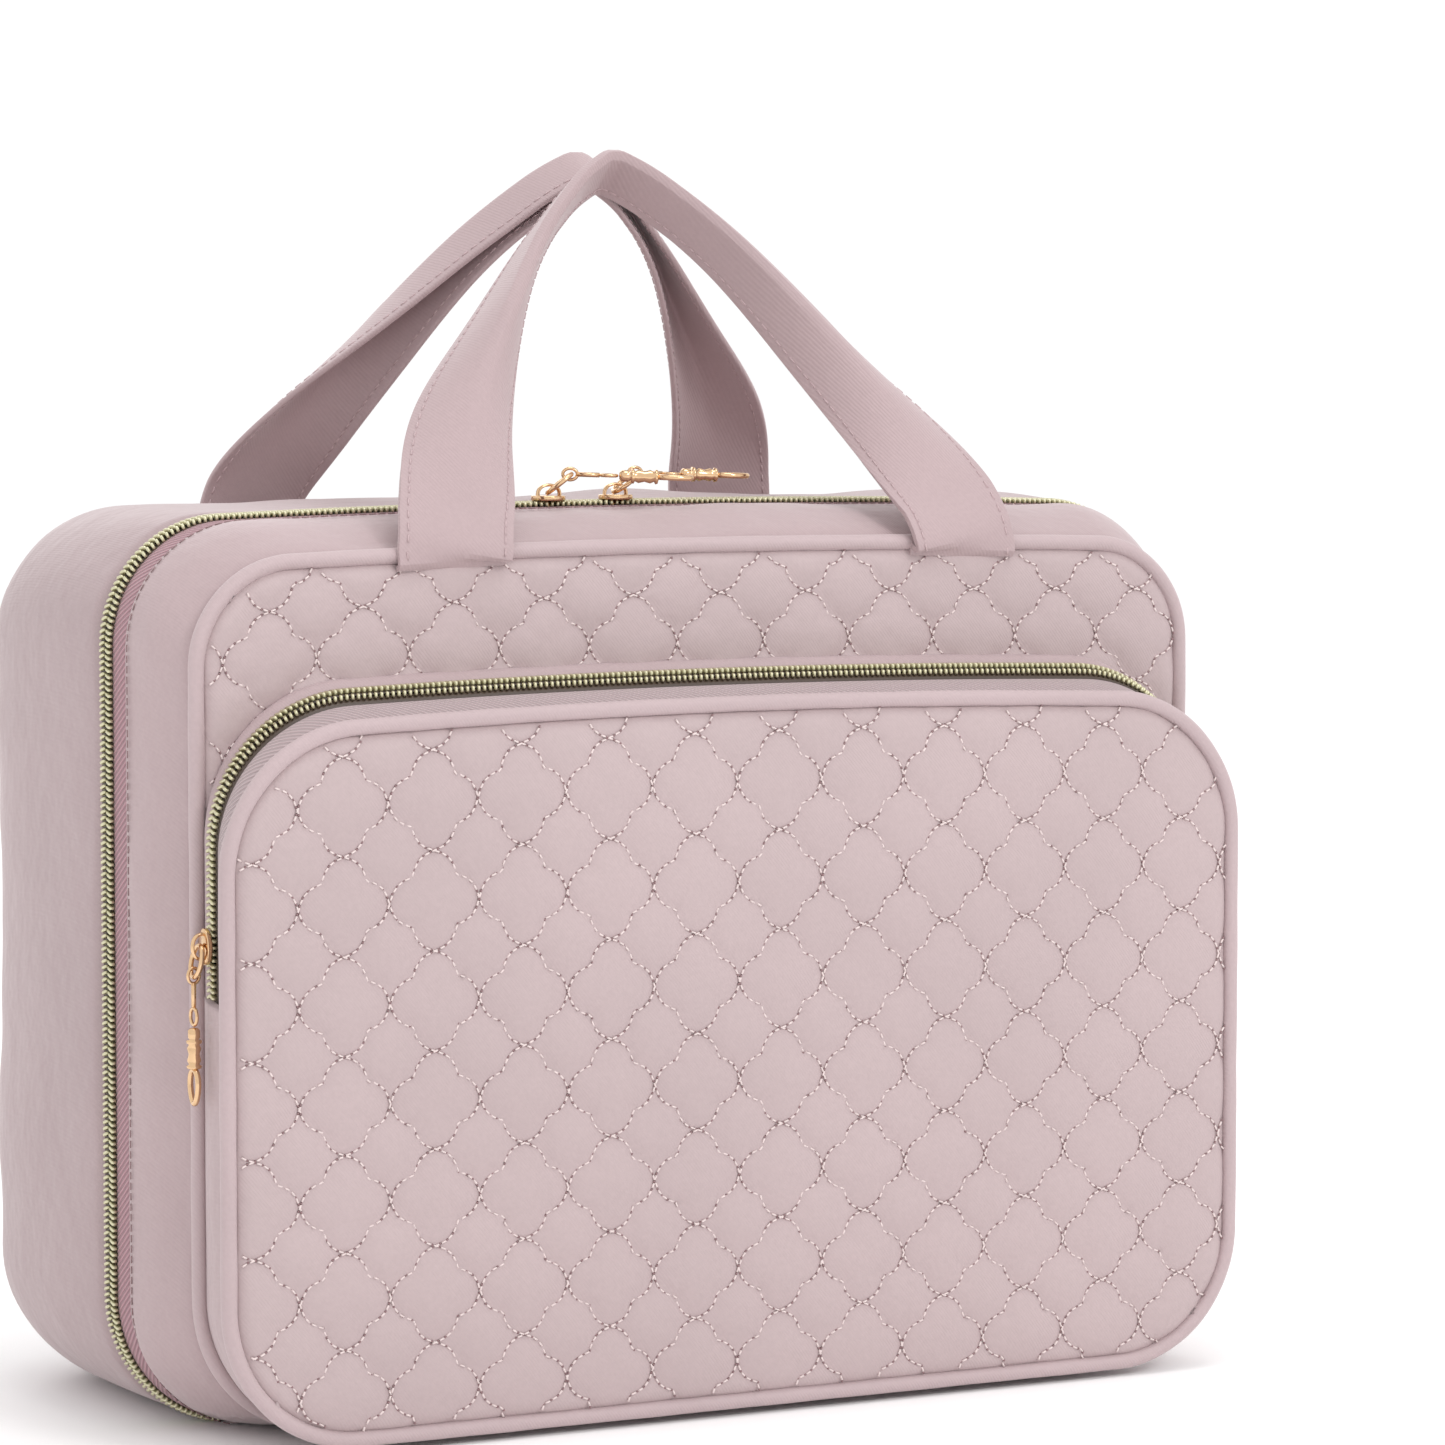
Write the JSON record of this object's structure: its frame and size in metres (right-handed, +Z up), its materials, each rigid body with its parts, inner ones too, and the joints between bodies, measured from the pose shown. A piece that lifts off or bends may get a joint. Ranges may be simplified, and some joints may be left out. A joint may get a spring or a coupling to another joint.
{
  "type": "make-up bag",
  "caption": "Soft quilted make-up case that opens like a suitcase, with a zipped front pocket, folded fabric handles, hanging metal zip pulls and lined compartments.",
  "frame": {"origin": "under the middle of the bag, on the surface it stands on", "axes": "+Z up, +X to the bag's right seen from its front, -Y towards the quilted front pocket"},
  "size_m": [0.308, 0.1605, 0.3206],
  "materials": {
    "quilt": "quilted satin-faced fabric over wadding",
    "shell": "padded woven fabric",
    "piping": "covered cord",
    "strap": "folded and top-stitched fabric",
    "tape": "herringbone woven zip tape",
    "lining": "satin lining",
    "mesh": "knitted mesh",
    "satin": "satin bands and bindings",
    "coil": "metallised coil teeth",
    "inner_coil": "nylon coil teeth",
    "gold": "polished rose gold plating",
    "gunmetal": "dark plated",
    "window": "clear flexible film"
  },
  "bodies": {
    "back_half": {"back_shell": "shell", "back_lining": "lining", "back_zip_teeth": "coil", "back_zip_tape": "tape", "back_hinge_strip": "shell", "back_seam_binding": "satin", "brush_pocket": "satin", "flap_mount_strip": "satin"},
    "clear_flap": {"clear_window": "window", "clear_window_binding": "satin"},
    "front_half": {"front_gusset": "shell", "front_panel": "quilt", "front_piping": "piping", "front_lining": "lining", "front_zip_teeth": "coil", "front_zip_tape": "tape", "front_hinge_strip": "shell", "mesh_lower": "mesh", "mesh_lower_band": "satin", "mesh_zip_teeth": "inner_coil", "mesh_upper_band": "satin", "mesh_upper": "mesh", "mesh_binding": "satin", "pocket_gusset": "shell", "pocket_rear_zip_teeth": "coil", "pocket_rear_zip_tape": "tape", "pocket_back_lining": "lining", "pocket_panel_lower": "quilt", "pocket_piping_lower": "piping", "pocket_lining_lower": "lining"},
    "pocket_flap": {"pocket_panel_upper": "quilt", "pocket_piping_upper": "piping", "pocket_lining_upper": "lining", "pocket_front_zip_teeth": "coil", "pocket_front_zip_tape": "tape"},
    "front_handle_body": {"front_handle": "strap"},
    "back_handle_body": {"back_handle": "strap"},
    "inner_slider_body": {"inner_slider": "gunmetal"},
    "inner_pull_body": {"inner_pull": "gunmetal"},
    "left_slider_body": {"left_slider": "gold"},
    "left_ring_body": {"left_pull_ring": "gold"},
    "left_tail_body": {"left_pull_link": "gold", "left_pull_charm": "gold"},
    "right_slider_body": {"right_slider": "gold"},
    "right_ring_body": {"right_pull_ring": "gold"},
    "right_tail_body": {"right_pull_link": "gold", "right_pull_charm": "gold"},
    "pocket_slider_body": {"pocket_slider": "gold"},
    "pocket_ring_body": {"pocket_pull_ring": "gold"},
    "pocket_tail_body": {"pocket_pull_link": "gold", "pocket_pull_charm": "gold"}
  },
  "joints": [
    {"name": "lid", "type": "hinge", "parent": "back_half", "child": "front_half", "pos_m": [0, -0.021, 0], "axis": [1, 0, 0], "range_deg": [0, 175]},
    {"name": "pocket_open", "type": "hinge", "parent": "front_half", "child": "pocket_flap", "pos_m": [0, -0.08, 0.1112], "axis": [1, 0, 0], "range_deg": [0, 45]},
    {"name": "front_handle_swing", "type": "hinge", "parent": "front_half", "child": "front_handle_body", "pos_m": [0, -0.0586, 0.2134], "axis": [-1, 0, 0], "range_deg": [-160, 0]},
    {"name": "back_handle_swing", "type": "hinge", "parent": "back_half", "child": "back_handle_body", "pos_m": [0, 0.0794, 0.2134], "axis": [1, 0, 0], "range_deg": [-180, 0]},
    {"name": "clear_flap_lift", "type": "hinge", "parent": "back_half", "child": "clear_flap", "pos_m": [0, 0.062, 0.192], "axis": [-1, 0, 0], "range_deg": [0, 60]},
    {"name": "left_slider_run", "type": "slide", "parent": "back_half", "child": "left_slider_body", "axis": [-0.9999, 0, -0.017], "range_m": [0, 0.07]},
    {"name": "right_slider_run", "type": "slide", "parent": "back_half", "child": "right_slider_body", "axis": [1, 0, -0.0093], "range_m": [0, 0.09]},
    {"name": "pocket_slider_run", "type": "slide", "parent": "front_half", "child": "pocket_slider_body", "axis": [0, 0, 1], "range_m": [0, 0.02]},
    {"name": "inner_slider_run", "type": "slide", "parent": "front_half", "child": "inner_slider_body", "axis": [1, 0, 0], "range_m": [0, 0.23]},
    {"name": "left_ring_swing", "type": "hinge", "parent": "left_slider_body", "child": "left_ring_body", "pos_m": [-0.029, -0.021, 0.231], "axis": [-0.4067, -0.9135, 0], "range_deg": [0, 130]},
    {"name": "left_tail_swing", "type": "hinge", "parent": "left_ring_body", "child": "left_tail_body", "pos_m": [-0.02371, -0.02336, 0.23553], "axis": [-0.4067, -0.9135, 0], "range_deg": [0, 40]},
    {"name": "right_ring_swing", "type": "hinge", "parent": "right_slider_body", "child": "right_ring_body", "pos_m": [-0.01, -0.021, 0.231], "axis": [-0.1045, -0.9945, 0], "range_deg": [0, 130]},
    {"name": "right_tail_swing", "type": "hinge", "parent": "right_ring_body", "child": "right_tail_body", "pos_m": [-0.00424, -0.0216, 0.23553], "axis": [-0.1045, -0.9945, 0], "range_deg": [0, 40]},
    {"name": "pocket_ring_swing", "type": "hinge", "parent": "pocket_slider_body", "child": "pocket_ring_body", "pos_m": [-0.1433, -0.063, 0.1245], "axis": [0, 1, 0], "range_deg": [0, 140]},
    {"name": "pocket_tail_swing", "type": "hinge", "parent": "pocket_ring_body", "child": "pocket_tail_body", "pos_m": [-0.14483, -0.063, 0.11731], "axis": [0, 1, 0], "range_deg": [0, 40]},
    {"name": "inner_pull_swing", "type": "hinge", "parent": "inner_slider_body", "child": "inner_pull_body", "pos_m": [-0.118, -0.0366, 0.1643], "axis": [0, 0, 1], "range_deg": [0, 150]}
  ]
}
